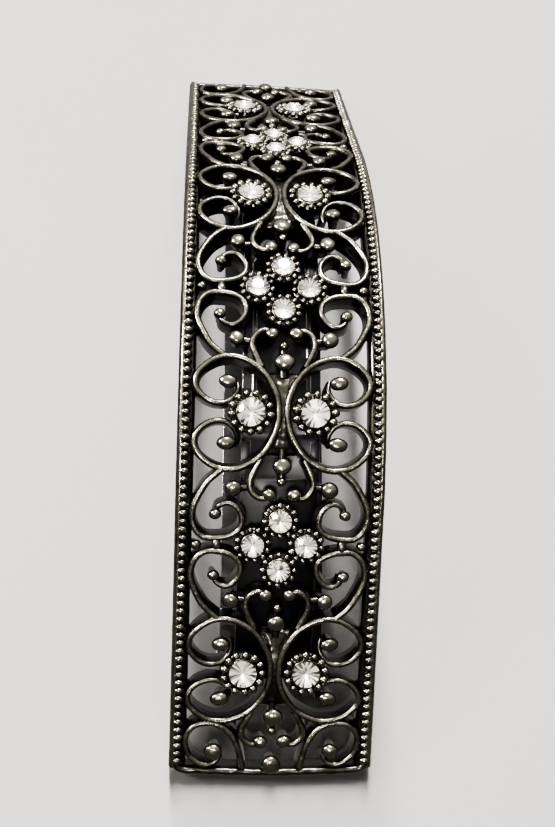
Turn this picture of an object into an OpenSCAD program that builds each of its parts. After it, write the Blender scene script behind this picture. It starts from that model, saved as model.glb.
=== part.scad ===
// Rhinestone barrette: a cast openwork plate, bent to an arch, with twenty set stones
// and a hinged spring clip under it.
// X runs across the plate, Y along it, Z up. The origin is on the surface that the
// barrette lies on, under the middle of the plate.

/* [Plate] */
// Width of the plate over its beaded edges
plate_w = 22; // [21.5:0.25:22.5]
// Length along the arch, from end rim to end rim at the corners
plate_length = 107; // [106.5:0.5:107.5]
// Depth of the casting under its face
plate_t = 2.4; // [2.2:0.1:2.6]
// Radius of the arched middle, at the face
arch_radius = 44; // [42:1:46]
// Length of the arched middle on each side of the crown
arch_half = 25; // [24:0.5:26]
// Width of the beaded strip on each long edge
bead_w = 1; // [0.8:0.1:1.2]
// Rise of the beaded strip over the face
bead_rise = 0.3; // [0.2:0.05:0.4]
// How far the middle of an end rim bows out past its corners
rim_bow = 0.4; // [0.2:0.1:0.5]

/* [Pattern] */
// Distance from one row of two stones to the next
period = 28; // [27.5:0.25:28.5]
// Thickness of a scroll at its top
wire_top = 0.52; // [0.4:0.02:0.6]
// Thickness of a scroll at its foot
wire_foot = 0.86; // [0.8:0.02:0.96]
// Rise of the scrolls over the face
wire_rise = 0.1; // [0:0.05:0.2]
// Shortening of the pattern between the last stones and an end rim
end_squeeze = 0.9; // [0.86:0.01:0.92]

/* [Stones] */
// Radius of a stone in the rows of two
large_stone = 1.46; // [1.4:0.02:1.5]
// Radius of a stone in the clusters of four
small_stone = 1.17; // [1.1:0.01:1.2]
// Half the distance between the two stones of a row
row_half = 3.37; // [3.3:0.01:3.4]
// Half the width of a cluster, centre to centre
cluster_half_w = 2.8; // [2.76:0.02:2.84]
// Half the length of a cluster, centre to centre
cluster_half_l = 2.65; // [2.6:0.01:2.7]
// Height of a stone's flat top over the face
table_h = 0.7; // [0.6:0.05:0.8]
// Clearance round a stone in its cup
stone_gap = 0.06; // [0.05:0.01:0.08]

/* [Clip] */
// Width of the clip's base bar
base_w = 8.4; // [8:0.1:8.6]
// Thickness of the base bar
base_t = 0.8; // [0.7:0.05:0.9]
// Width of the clasp arm
arm_w = 11.5; // [11.3:0.1:11.7]
// Thickness of the clasp arm
arm_t = 0.8; // [0.7:0.05:0.9]
// Height of the arm's middle over its ends
arm_rise = 6.6; // [6:0.2:7]
// Width of the bow spring
bow_w = 5; // [4.5:0.25:5.5]
// Radius of the hinge pin
pin_r = 0.5; // [0.45:0.05:0.5]
// Distance of the hinge from the crown, along the arch
hinge_s = 42; // [41.5:0.25:42.5]
// Depth of the hinge under the face
hinge_depth = 4.7; // [4.6:0.05:4.8]

/* [Hidden] */
large_count = 8;
small_count = 12;

// Heights over the plate's face
foot_h = -plate_t;
layer = 0.05;
edge_foot = foot_h + 0.12;
end_turn = arch_half / arch_radius * 180 / PI;
half_length = plate_length / 2;

// The plate's ends stand on the surface
lift = arch_radius * (1 - cos(end_turn)) + (half_length - arch_half) * sin(end_turn)
    + plate_t * cos(end_turn);

// Where the rows of two stones and the clusters of four lie along the arch
rows = [-1.5, -0.5, 0.5, 1.5] * period;
clusters = [-1, 0, 1] * period;
last_row = 1.5 * period;

// A quarter of the pattern, measured from the middle of a row of two stones.
// Columns: across, along
big_scroll = [
    [0.55, 0.6], [0.75, 2.1], [1.6, 3.9], [3.4, 5.4], [5.5, 6.1], [7.6, 5.6],
    [9, 4.1], [8.9, 2.3], [7.5, 1], [5.8, 1.1], [5, 2.8]
];
side_scroll = [
    [6.6, 6.3], [8.2, 7.9], [9.2, 10.4], [8.2, 13.1], [5.2, 13.2],
    [3.9, 11.9], [4.2, 10.2], [5.5, 9.5], [6.7, 10.5]
];
tulip = [
    [2.1, 4.7], [3.1, 6.3], [3.3, 7.8], [1.6, 8.8]
];
bracket = [
    [3.1, 7.8], [5, 7.9]
];
end_scroll = [
    [3, 11.3], [3.5, 8.9], [4.6, 6.8], [6.5, 5.5], [8.5, 6], [9.2, 7.8],
    [8.5, 9.8], [6.8, 10.4], [5.6, 9.4]
];

// Pellets of the quarter.
// Columns: across, along, half width, half length, top over the face
pellets = [
    [5.8, 3.2, 0.95, 0.6, 0.35],
    [5, 8, 0.9, 0.8, 0.45],
    [6.8, 10.7, 0.65, 0.55, 0.3],
    [1.2, 8.6, 0.7, 0.55, 0.3]
];
first_side_pellet = 1;
last_side_pellet = 2;
// Pellets on the middle line, from the waist of the big scrolls outwards
middle_pellets = [
    [0, 5.5, 0.95, 0.8, 0.45],
    [0, 7.2, 0.42, 0.45, 0.15]
];
// Pellets of an end, measured from the last row
end_pellets = [
    [6.3, 8.8, 0.95, 0.85, 0.35],
    [-6.3, 8.8, 0.95, 0.85, 0.35],
    [0, 10.4, 1, 1.05, 0.3]
];
// Bar between two side scrolls, and the pellet that joins the long edge beside it
link_x = 6.7;
link_w = 0.8;
link_l = 1.6;
link_foot = -1.8;
edge_pellet = [8.6, 0.55];
edge_reach = 1;

// Cups of the stones
cup_sides = 8;
small_cup_turn = 10;
cup_floor = -0.75;
cup_lip = 0.3;
collar_w = 0.95;
small_collar_w = 0.95;
collar_top = 0.1;
cup_foot = -2.1;
lip_w = 0.08;
girdle_h = 0.22;
girdle_t = 0.1;
culet_h = -0.6;
table_share = 0.55;

// Pellet proportions
pellet_sides = 6;
pellet_foot = -2;
pellet_flank = 0.35;
pellet_crown = 0.55;

// Clip, in heights over the plate's face
base_top = foot_h - 0.2;
base_foot = base_top - base_t;
base_half = 43.6;
lug_from = 17;
lug_to = 21;
lug_w = 0.95;
rib_x = 2.9;
rib_w = 0.4;
rib_rise = 0.12;
ear_t = 0.8;
ear_r = 1.1;
arm_ear_r = 1.3;
pin_clearance = 0.06;
pin_head_r = 0.9;
pin_head_t = 0.35;
play = 0.05;
hinge_point = arch_point(0, hinge_s, -hinge_depth);
hinge_y = hinge_point[1];
hinge_z = hinge_point[2];
arm_floor_z = hinge_z - ear_r - 0.35;
tab_length = 3.4;
bow_seat_from = 36.5;
bow_seat_to = 39.4;
bow_t = 0.42;
bow_middle_z = lift + base_foot - 4.9;
dimple_r = 0.5;
dimple_rise = 0.4;

// Straight pieces that a bend is made of
edge_steps = 19;
bar_steps = 32;
rib_steps = 12;
lug_steps = 3;
spring_steps = 20;

// Place on the arched plate: u across, s along from the crown, h over the face
function arch_point(u, s, h) =
    let (bent = min(abs(s), arch_half))
    let (turn = bent / arch_radius * 180 / PI)
    let (straight = abs(s) - bent)
    let (y = (arch_radius + h) * sin(turn) + straight * cos(turn))
    let (z = (arch_radius + h) * cos(turn) - arch_radius - straight * sin(turn))
    [u, sign(s) * y, lift + z];

function arch_tilt(s) = -sign(s) * min(abs(s), arch_half) / arch_radius * 180 / PI;

// Sideways direction of a path at its point i
function path_side(path, i) =
    let (before = path[max(i - 1, 0)])
    let (after = path[min(i + 1, len(path) - 1)])
    let (run = after - before)
    [-run.y, run.x] / norm(run);

// A quarter's point, mirrored and moved to its row
function placed(path, row, side, way, squeeze) =
    [for (p = path) [side * p.x, row + way * squeeze * p.y]];

// Rows along one direction have this much room before the next motif or the rim
function squeeze_at(row, way) = row * way >= last_row ? end_squeeze : 1;

// Cross section of a scroll wall: offset to the side, height over the face
function wall_section(top_w, foot_w, top, foot) = [
    [foot_w / 2, foot], [top_w / 2, top], [-top_w / 2, top], [-foot_w / 2, foot]
];

// Solid through a list of closed rings with the same number of points
module skin(rings) {
    n = len(rings[0]);
    last = len(rings) - 1;
    sides = [for (i = [0:last - 1]) for (k = [0:n - 1])
        [i * n + k, (i + 1) * n + k, (i + 1) * n + (k + 1) % n, i * n + (k + 1) % n]];
    near_cap = [for (k = [0:n - 1]) k];
    far_cap = [for (k = [n - 1:-1:0]) last * n + k];
    polyhedron(points = [for (ring = rings) each ring], faces = concat(sides, [near_cap, far_cap]));
}

// Wall that follows a path on the arched plate
module wall(path, section) {
    rings = [for (i = [0:len(path) - 1])
        let (side = path_side(path, i))
        [for (corner = section)
            let (p = path[i] + side * corner[0])
            arch_point(p.x, p.y, corner[1])]];
    skin(rings);
}

module on_plate(u, s) {
    translate(arch_point(u, s, 0)) rotate([arch_tilt(s), 0, 0]) children();
}

// Cast pellet: a flattened dome on a stalk that tapers down
module pellet(p) {
    on_plate(p[0], p[1]) scale([p[2], p[3], 1]) rotate_extrude($fn = pellet_sides) polygon([
        [0, pellet_foot], [1, p[4] - pellet_flank], [pellet_crown, p[4]], [0, p[4]]
    ]);
}

function moved_pellet(p, row, side, way, squeeze) =
    [side * p[0], row + way * squeeze * p[1], p[2], p[3], p[4]];

// The flats of a cup's bore clear the round stone
function bore_radius(stone_r) = (stone_r + stone_gap) / cos(180 / cup_sides);

// Cup with its collar, before the room for its stone is cut
module cup(stone_r, collar) {
    lip = bore_radius(stone_r) + lip_w;
    outer = stone_r + collar;
    rotate_extrude($fn = cup_sides) polygon([
        [0, cup_foot], [outer, cup_foot], [outer, collar_top], [lip, cup_lip], [0, cup_lip]
    ]);
}

module cup_room(stone_r) {
    translate([0, 0, cup_floor]) cylinder(r = bore_radius(stone_r), h = 3, $fn = cup_sides);
}

function row_place(i) = [(i % 2 == 0 ? -1 : 1) * row_half, rows[floor(i / 2)]];

// The four places of a cluster: near, left, right, far
cluster_places = [
    [0, -cluster_half_l], [-cluster_half_w, 0], [cluster_half_w, 0], [0, cluster_half_l]
];

function cluster_place(i) = cluster_places[i % 4] + [0, clusters[floor(i / 4)]];

module long_edge(side) {
    outer = plate_w / 2;
    bead_outer = outer - 0.25;
    bead_inner = bead_outer - bead_w;
    bead_mid = (bead_outer + bead_inner) / 2;
    section = [
        [outer, edge_foot], [outer, -0.1], [bead_outer, 0.02], [bead_mid + 0.25, bead_rise],
        [bead_mid - 0.25, bead_rise], [bead_inner, 0.02], [bead_inner - 0.25, edge_foot]
    ];
    run = half_length - 0.9;
    rings = [for (i = [0:edge_steps])
        let (s = -run + 2 * run * i / edge_steps)
        [for (corner = side < 0 ? section : reversed(section))
            arch_point(side * corner[0], s, corner[1])]];
    skin(rings);
}

function reversed(list) = [for (i = [len(list) - 1:-1:0]) list[i]];

module end_rim(way) {
    corner = plate_w / 2 - 0.65;
    edge = half_length - 0.45;
    half = [
        [corner, edge - 1.5], [corner - 0.05, edge - 0.6], [corner - 0.7, edge],
        [0.75 * corner, edge + 0.45 * rim_bow], [0.4 * corner, edge + 0.85 * rim_bow],
        [0, edge + rim_bow]
    ];
    left = [for (i = [4:-1:0]) [-half[i].x, half[i].y]];
    path = [for (p = concat(half, left)) [p.x, way * p.y]];
    wall(path, [[0.5, foot_h], [0.4, -0.1], [-0.4, -0.1], [-0.5, foot_h]]);
}

// Walls that meet differ by a layer at the top and the foot, so that each ends in the other
function scroll_wall(layers) =
    wall_section(wire_top, wire_foot, wire_rise - layers * layer, foot_h + layers * layer);

// The big scrolls on one side of a row are one wall, through the waist between the stones
module big_scrolls(row, side) {
    before = placed(big_scroll, row, side, -1, squeeze_at(row, -1));
    after = placed(big_scroll, row, side, 1, squeeze_at(row, 1));
    wall(concat(reversed(before), after), scroll_wall(0));
}

// One quarter of the pattern round a row
module quarter(row, side, way) {
    squeeze = squeeze_at(row, way);
    at_end = squeeze < 1;
    side_wall = scroll_wall(1);
    wall(placed(tulip, row, side, way, squeeze), scroll_wall(2));
    if (at_end) {
        wall(placed(end_scroll, row, side, way, 1), side_wall);
    } else {
        wall(placed(side_scroll, row, side, way, 1), side_wall);
        wall(placed(bracket, row, side, way, 1), wall_section(0.7, 1, -0.3, foot_h + 3 * layer));
    }
    for (i = [0:len(pellets) - 1])
        if (!at_end || i < first_side_pellet || i > last_side_pellet)
            pellet(moved_pellet(pellets[i], row, side, way, squeeze));
}

// What lies on the middle line on one side of a row
module middle(row, way) {
    squeeze = squeeze_at(row, way);
    spine = [[0, 0.5], [0, 7.3]];
    wall(placed(spine, row, 1, way, squeeze), wall_section(0.5, 0.9, -0.6, foot_h + 4 * layer));
    for (p = middle_pellets)
        pellet(moved_pellet(p, row, 1, way, squeeze));
    if (squeeze < 1)
        for (p = end_pellets)
            pellet(moved_pellet(p, row, 1, way, 1));
}

// Links and edge pellets where two side scrolls meet beside a cluster
module cluster_link(cluster, side) {
    on_plate(side * link_x, cluster) hull() {
        for (end = [-1, 1])
            translate([0, end * link_l / 2, link_foot])
                cylinder(r = link_w / 2, h = -link_foot, $fn = 4);
    }
    on_plate(side * edge_pellet[0], cluster) hull() {
        translate([0, 0, pellet_foot]) cylinder(r = 0.3, h = 0.01, $fn = pellet_sides);
        cylinder(r = edge_pellet[1], h = 0.1, $fn = pellet_sides);
        translate([side * edge_reach, 0, 0]) cylinder(r = edge_pellet[1], h = 0.01, $fn = 4);
    }
}

module casting() {
    for (side = [-1, 1]) long_edge(side);
    for (way = [-1, 1]) end_rim(way);
    for (row = rows) for (way = [-1, 1]) {
        for (side = [-1, 1]) quarter(row, side, way);
        middle(row, way);
    }
    for (row = rows) for (side = [-1, 1]) big_scrolls(row, side);
    for (cluster = clusters) for (side = [-1, 1]) cluster_link(cluster, side);
    for (i = [0:large_count - 1]) {
        p = row_place(i);
        on_plate(p.x, p.y) cup(large_stone, collar_w);
    }
    for (i = [0:small_count - 1]) {
        p = cluster_place(i);
        drop = p.x == 0 ? 0 : layer / 2;
        on_plate(p.x, p.y) translate([0, 0, -drop]) rotate([0, 0, small_cup_turn])
            cup(small_stone, small_collar_w);
    }
}

module openwork_plate() {
    color("dimgray") difference() {
        casting();
        for (i = [0:large_count - 1]) {
            p = row_place(i);
            on_plate(p.x, p.y) cup_room(large_stone);
        }
        for (i = [0:small_count - 1]) {
            p = cluster_place(i);
            on_plate(p.x, p.y) rotate([0, 0, small_cup_turn]) cup_room(small_stone);
        }
        // The end rims are worn flat where they stand
        translate([-plate_w, -plate_length, -5]) cube([2 * plate_w, 2 * plate_length, 5]);
    }
}

// Cut stone: flat table, crown, girdle and a pointed back
module cut_stone(stone_r) {
    color("white") hull() {
        translate([0, 0, table_h - 0.02]) cylinder(r = stone_r * table_share, h = 0.02, $fn = 8);
        rotate([0, 0, 11.25]) translate([0, 0, girdle_h]) cylinder(r = stone_r, h = girdle_t, $fn = 16);
        translate([0, 0, culet_h]) cylinder(r = 0.08, h = 0.02, $fn = 8);
    }
}

module stone_large(i) {
    p = row_place(i);
    on_plate(p.x, p.y) cut_stone(large_stone);
}

module stone_small(i) {
    p = cluster_place(i);
    on_plate(p.x, p.y) cut_stone(small_stone);
}

// Bar seen from the side, as two lines of points, drawn across X
module strip(upper, lower, width) {
    translate([-width / 2, 0, 0]) rotate([90, 0, 90]) linear_extrude(height = width)
        polygon(concat(upper, reversed(lower)));
}

function side_points(from, to, h, steps) =
    [for (i = [0:steps])
        let (p = arch_point(0, from + (to - from) * i / steps, h))
        [p[1], p[2]]];

// Ears hang from the base or stand on the arm, round the hinge line.
// The way is -1 at the hinge and 1 at the catch
module base_ear(way) {
    x = base_w / 2 - ear_t;
    translate([x, way * hinge_y, hinge_z]) rotate([0, 90, 0]) cylinder(r = ear_r, h = ear_t, $fn = 40);
    on_plate(x, way * hinge_s) translate([0, -ear_r, -hinge_depth])
        cube([ear_t, 2 * ear_r, hinge_depth + base_top - base_t / 2]);
}

module arm_ear(way) {
    x = arm_w / 2 - ear_t;
    foot = arm_floor_z - arm_t / 2;
    translate([x, way * hinge_y, hinge_z]) rotate([0, 90, 0]) cylinder(r = arm_ear_r, h = ear_t, $fn = 40);
    translate([x, way * hinge_y - arm_ear_r, foot]) cube([ear_t, 2 * arm_ear_r, hinge_z - foot]);
}

module both_sides() {
    children();
    mirror([1, 0, 0]) children();
}

module clip_base() {
    // Lugs and ribs start inside the bar
    root = base_foot + base_t / 4;
    rib_end = lug_from - 1;
    color("gray") difference() {
        union() {
            strip(side_points(-base_half, base_half, base_top, bar_steps),
                side_points(-base_half, base_half, base_foot, bar_steps), base_w);
            both_sides() {
                for (way = [-1, 1]) {
                    base_ear(way);
                    translate([base_w / 2 - lug_w / 2, 0, 0])
                        strip(side_points(way * lug_from, way * lug_to, foot_h - play, lug_steps),
                            side_points(way * lug_from, way * lug_to, root, lug_steps), lug_w);
                }
                translate([rib_x, 0, 0])
                    strip(side_points(-rib_end, rib_end, base_top + rib_rise, rib_steps),
                        side_points(-rib_end, rib_end, root, rib_steps), rib_w);
                // Dimples of the catch
                translate([base_w / 2 - ear_t / 2, hinge_y, hinge_z]) rotate([0, 90, 0])
                    cylinder(r = dimple_r, h = dimple_rise + ear_t / 2, $fn = 32);
            }
        }
        translate([-base_w, -hinge_y, hinge_z]) rotate([0, 90, 0])
            cylinder(r = pin_r + pin_clearance, h = 2 * base_w, $fn = 32);
    }
}

module hinge_pin() {
    shank = arm_w + 2 * play;
    color("silver") {
        translate([-shank / 2, -hinge_y, hinge_z]) rotate([0, 90, 0]) cylinder(r = pin_r, h = shank, $fn = 32);
        both_sides() translate([shank / 2, -hinge_y, hinge_z]) rotate([0, 90, 0])
            cylinder(r = pin_head_r, h = pin_head_t, $fn = 32);
    }
}

// Spring: seated flat under the base at both ends and bowed down between them
function bow_points(down) =
    let (seat_out = arch_point(0, bow_seat_to, base_foot - play))
    let (seat_in = arch_point(0, bow_seat_from, base_foot - play))
    let (rise = bow_middle_z - seat_in[2])
    let (bowed = [for (i = [0:spring_steps])
        let (y = seat_in[1] * (2 * i / spring_steps - 1))
        [y, seat_in[2] + rise * (1 - pow(y / seat_in[1], 2)) - down]])
    concat([[-seat_out[1], seat_out[2] - down]], bowed, [[seat_out[1], seat_out[2] - down]]);

module bow_spring() {
    color("silver") strip(bow_points(0), bow_points(bow_t), bow_w);
}

// Floor of the clasp arm, seen from the side. It starts at the hinge line, so that its
// end clears the base bar when the arm swings down
function arm_line(down) =
    let (arched = [for (i = [0:spring_steps])
        let (y = hinge_y * (2 * i / spring_steps - 1))
        [y, arm_floor_z + arm_rise * (1 - pow(y / hinge_y, 2)) - down]])
    concat(arched, [[hinge_y + tab_length, arm_floor_z - down]]);

module clasp_arm() {
    color("gray") difference() {
        union() {
            strip(arm_line(0), arm_line(arm_t), arm_w);
            both_sides() for (way = [-1, 1]) arm_ear(way);
        }
        for (way = [-1, 1])
            translate([-arm_w, way * hinge_y, hinge_z]) rotate([0, 90, 0])
                cylinder(r = (way < 0 ? pin_r : dimple_r) + pin_clearance, h = 2 * arm_w, $fn = 32);
    }
}

openwork_plate();
clip_base();
hinge_pin();
bow_spring();
clasp_arm();
for (i = [0:large_count - 1])
    stone_large(i);
for (i = [0:small_count - 1])
    stone_small(i);
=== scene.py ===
# %% [markdown]
# # A rhinestone barrette in cast openwork
#
# The real object is a hair barrette: a long plate cast in dark gunmetal, bent to an arch,
# with scrolls and pellets left standing between cut-out gaps. Twenty clear rhinestones sit
# in cups, each in a ring of small granules, and both long edges carry a row of beads.
# Under the plate is a steel clip: a base bar, a bow spring and a hinged clasp arm.
#
# The plate is drawn flat, as its pattern was, and bent afterwards. That keeps every table
# of sizes simple: across, along, and rise over the face. The CAD model was made the same
# way, so both agree wherever they share a number.

# %% Load the frame
import math
import random

import bmesh
import bpy
from mathutils import Matrix, Vector


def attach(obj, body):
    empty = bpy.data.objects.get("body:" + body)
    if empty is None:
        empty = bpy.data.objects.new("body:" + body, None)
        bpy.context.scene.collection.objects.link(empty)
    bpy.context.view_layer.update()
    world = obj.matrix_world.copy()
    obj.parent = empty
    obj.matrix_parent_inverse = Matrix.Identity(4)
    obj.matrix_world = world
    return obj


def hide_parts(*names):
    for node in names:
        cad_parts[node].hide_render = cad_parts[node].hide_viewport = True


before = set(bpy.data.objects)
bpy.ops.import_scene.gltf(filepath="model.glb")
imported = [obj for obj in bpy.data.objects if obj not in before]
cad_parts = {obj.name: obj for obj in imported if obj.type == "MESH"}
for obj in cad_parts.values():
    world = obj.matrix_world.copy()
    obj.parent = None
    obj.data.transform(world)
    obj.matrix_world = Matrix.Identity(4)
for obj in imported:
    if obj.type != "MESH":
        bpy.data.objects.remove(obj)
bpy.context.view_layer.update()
MM = 0.001

# %% [markdown]
# ## The arch
#
# The plate is a circular arc in the middle and runs straight to both ends. A place on it
# is given by u across, s along from the crown, and h over the face, all in millimetres.
# These are the sizes of the CAD source.

# %% Sizes of the plate and a place on the arch
PLATE_T = 2.4
HALF_LENGTH = 53.5
ARCH_RADIUS = 44.0
ARCH_HALF = 25.0
PERIOD = 28.0
ROWS = [k * PERIOD for k in (-1.5, -0.5, 0.5, 1.5)]
CLUSTERS = [k * PERIOD for k in (-1, 0, 1)]
END_SQUEEZE = 0.9
END_TURN = ARCH_HALF / ARCH_RADIUS
LIFT = (
    ARCH_RADIUS * (1 - math.cos(END_TURN))
    + (HALF_LENGTH - ARCH_HALF) * math.sin(END_TURN)
    + PLATE_T * math.cos(END_TURN)
)


def arch_point(u, s, h):
    bent = min(abs(s), ARCH_HALF)
    turn = bent / ARCH_RADIUS
    straight = abs(s) - bent
    y = (ARCH_RADIUS + h) * math.sin(turn) + straight * math.cos(turn)
    z = (ARCH_RADIUS + h) * math.cos(turn) - ARCH_RADIUS - straight * math.sin(turn)
    return Vector((u, math.copysign(y, s), LIFT + z)) * MM


def arch_tilt(s):
    return -math.copysign(min(abs(s), ARCH_HALF) / ARCH_RADIUS, s)


print("crown of the plate at", round(arch_point(0, 0, 0).z / MM, 2), "mm")

# %% [markdown]
# ## Camera
#
# The photograph was taken from about ten centimetres, from above the near end and a
# little to the left, so the far end of the arch falls away quickly. The place, the turn
# and the lens were fitted to the outline and to the places of the stones. The camera
# comes first, because every later choice of detail is judged through it.

# %% Camera at the photograph's angle
IMAGE_HEIGHT = 827
FOCAL_PIXELS = 1034
SENSOR_WIDTH = 36
CLIP_NEAR = 0.005
CLIP_FAR = 20
CAMERA_PLACE = Vector((-9.6, -57.7, 95.3 + LIFT)) * MM
CAMERA_TARGET = Vector((-0.83, -14.85, LIFT)) * MM
CAMERA_ROLL = 0.210


def new_object(name, data):
    obj = bpy.data.objects.new(name, data)
    bpy.context.scene.collection.objects.link(obj)
    return obj


look = (CAMERA_TARGET - CAMERA_PLACE).normalized()
sideways = look.cross(Vector((0, 0, 1))).normalized()
upright = sideways.cross(look)
across = sideways * math.cos(CAMERA_ROLL) + upright * math.sin(CAMERA_ROLL)
above = upright * math.cos(CAMERA_ROLL) - sideways * math.sin(CAMERA_ROLL)
camera_data = bpy.data.cameras.new("camera")
camera_data.sensor_width = SENSOR_WIDTH
camera_data.lens = FOCAL_PIXELS / IMAGE_HEIGHT * SENSOR_WIDTH
camera_data.clip_start = CLIP_NEAR
camera_data.clip_end = CLIP_FAR
camera = new_object("camera", camera_data)
camera.matrix_world = Matrix(
    (
        (across.x, above.x, -look.x, CAMERA_PLACE.x),
        (across.y, above.y, -look.y, CAMERA_PLACE.y),
        (across.z, above.z, -look.z, CAMERA_PLACE.z),
        (0, 0, 0, 1),
    )
)
bpy.context.scene.camera = camera
print("lens", round(camera_data.lens, 1), "mm")

# %% [markdown]
# ## Helpers for node trees
#
# Shaders and Geometry Nodes are both graphs, so one helper adds a node and fills its
# inputs. A value that is another node's output becomes a link; anything else is a constant.
# A few more helpers stand for the nodes that come back often.


# %% Add nodes and connect them
def add(tree, kind, inputs=None, **settings):
    node = tree.nodes.new(kind)
    for name, value in settings.items():
        setattr(node, name, value)
    for key, value in (inputs or {}).items():
        if isinstance(value, bpy.types.NodeSocket):
            tree.links.new(value, node.inputs[key])
        else:
            node.inputs[key].default_value = value
    return node


def calc(tree, operation, *values):
    """One step of arithmetic; its result."""
    return add(tree, "ShaderNodeMath", dict(enumerate(values)), operation=operation).outputs[0]


def scaled(tree, vector, factor):
    inputs = {0: vector, "Scale": factor}
    return add(tree, "ShaderNodeVectorMath", inputs, operation="SCALE").outputs[0]


def noise(tree, place, scale, detail, roughness=0.5, output="Fac"):
    cloud = {"Vector": place, "Scale": scale, "Detail": detail, "Roughness": roughness}
    return add(tree, "ShaderNodeTexNoise", cloud).outputs[output]


def object_place(tree):
    return add(tree, "ShaderNodeTexCoord").outputs["Object"]


print("node helpers:", [helper.__name__ for helper in (add, calc, scaled, noise, object_place)])


# %% [markdown]
# ## Finishes
#
# The casting is dark gunmetal. Where fingers and cloth reach, on the tops of scrolls,
# pellets and beads, it is polished; deep down it stays matt and almost black. Every cast
# mesh carries its own height over the face as an attribute named rise, so this wear can
# follow the bent plate. A shader group turns a height into a mask, and each metal uses it
# with its own levels. The mask could be painted instead, but a height follows every scroll
# of its own accord.


# %% A group that finds the worn, polished heights
WEAR_INPUTS = {
    "Level": 0.0,
    "Dull level": -0.5,
    "Polished level": 0.1,
    "Blotch scale": 900.0,
    "Blotch depth": 0.4,
}


def new_shader_group(name, inputs, outputs):
    group = bpy.data.node_groups.new(name, "ShaderNodeTree")
    for label, value in inputs.items():
        socket = group.interface.new_socket(label, in_out="INPUT", socket_type="NodeSocketFloat")
        socket.default_value = value
    for label in outputs:
        group.interface.new_socket(label, in_out="OUTPUT", socket_type="NodeSocketFloat")
    return group, group.nodes.new("NodeGroupInput").outputs


def build_wear_group():
    group, given = new_shader_group("worn_by_level", WEAR_INPUTS, ("Polish", "Blotch"))
    blotch = noise(group, object_place(group), given["Blotch scale"], detail=4.0, roughness=0.6)
    shift = calc(group, "SUBTRACT", blotch, 0.5)
    moved = calc(group, "MULTIPLY_ADD", shift, given["Blotch depth"], given["Level"])
    levels = {"Value": moved, "From Min": given["Dull level"], "From Max": given["Polished level"]}
    polish = add(group, "ShaderNodeMapRange", levels, interpolation_type="SMOOTHSTEP")
    add(group, "NodeGroupOutput", {"Polish": polish.outputs["Result"], "Blotch": blotch})
    return group


wear_group = build_wear_group()
print("shader group", wear_group.name, "has", len(wear_group.nodes), "nodes")

# %% [markdown]
# All the metals are built alike: an attribute gives the level, the group turns it into a
# polish mask, and the mask blends colour and roughness. A fine noise bump is the skin left
# by the mould. Only the colours, the levels and the attribute differ, so one function
# makes the dark gunmetal of the casting and both steels of the clip. The casting also has
# a thin clear lacquer, which gives its wires their fine bright lines.


# %% Metals
LACQUER_ROUGHNESS = 0.16
BLOTCH_SWING = 0.2


def new_material(name):
    """A material, its node tree and its shader."""
    material = bpy.data.materials.new(name)
    material.use_nodes = True
    tree = material.node_tree
    return material, tree, tree.nodes["Principled BSDF"]


def blend(tree, mask, first, second):
    """A colour between two, by a mask."""
    colours = {0: mask, 6: (*first, 1), 7: (*second, 1)}
    return add(tree, "ShaderNodeMix", colours, data_type="RGBA").outputs[2]


def metal(name, dull, polished, rough, levels, attribute, skin, blotch, lacquer=0.0):
    """The skin is its stretch, strength and depth; the blotches have a scale and a depth."""
    material, tree, shader = new_material(name)
    shader.inputs["Metallic"].default_value = 1.0
    shader.inputs["Coat Weight"].default_value = lacquer
    shader.inputs["Coat Roughness"].default_value = LACQUER_ROUGHNESS
    level_of = add(tree, "ShaderNodeAttribute", attribute_name=attribute).outputs["Fac"]
    values = dict(zip(WEAR_INPUTS, (level_of, *levels, *blotch)))
    wear = add(tree, "ShaderNodeGroup", values, node_tree=wear_group).outputs
    tree.links.new(blend(tree, wear["Polish"], dull, polished), shader.inputs["Base Color"])
    smooth = {"Value": wear["Polish"], "To Min": rough[0], "To Max": rough[1]}
    smooth = add(tree, "ShaderNodeMapRange", smooth).outputs["Result"]
    uneven = calc(tree, "MULTIPLY_ADD", wear["Blotch"], BLOTCH_SWING, -BLOTCH_SWING / 2)
    tree.links.new(calc(tree, "ADD", smooth, uneven), shader.inputs["Roughness"])
    stretch, strength, depth = skin
    stretched = {"Vector": object_place(tree), "Scale": stretch}
    stretched = add(tree, "ShaderNodeMapping", stretched).outputs[0]
    grain = noise(tree, stretched, scale=1.0, detail=3.0)
    bump = {"Strength": strength, "Distance": depth * MM, "Height": grain}
    bump = add(tree, "ShaderNodeBump", bump).outputs["Normal"]
    tree.links.new(bump, shader.inputs["Normal"])
    return material


gunmetal = metal(
    "gunmetal",
    dull=(0.0100, 0.0095, 0.0068),
    polished=(0.091, 0.087, 0.069),
    rough=(0.42, 0.2),
    levels=(-0.35, 0.35),
    attribute="rise",
    skin=((2500, 2500, 2500), 0.7, 0.07),
    blotch=(650.0, 1.9),
    lacquer=0.45,
)
# On the clasp arm the edge attribute also carries a painted fill light on its downward side
clip_steel = metal(
    "blackened_steel",
    dull=(0.018, 0.018, 0.0185),
    polished=(0.22, 0.22, 0.215),
    rough=(0.36, 0.3),
    levels=(0.3, 1.0),
    attribute="edge",
    skin=((6000, 260, 6000), 0.4, 0.02),
    blotch=(700.0, 0.7),
)
spring_steel = metal(
    "spring_steel",
    dull=(0.4, 0.4, 0.405),
    polished=(0.55, 0.55, 0.545),
    rough=(0.36, 0.22),
    levels=(0.0, 0.8),
    attribute="edge",
    skin=((7000, 300, 7000), 0.4, 0.015),
    blotch=(900.0, 0.9),
)
print("metals:", gunmetal.name, clip_steel.name, spring_steel.name)

# %% [markdown]
# ## Geometry Nodes: bend a flat pattern over the arch
#
# The bend is a group of its own, because every cast piece ends with it. It first stores the
# height over the face for the finish, then moves each point round the arc or along the
# straight end. A last step keeps the foot above the surface that the ends stand on, where
# the rims are worn flat.


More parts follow.
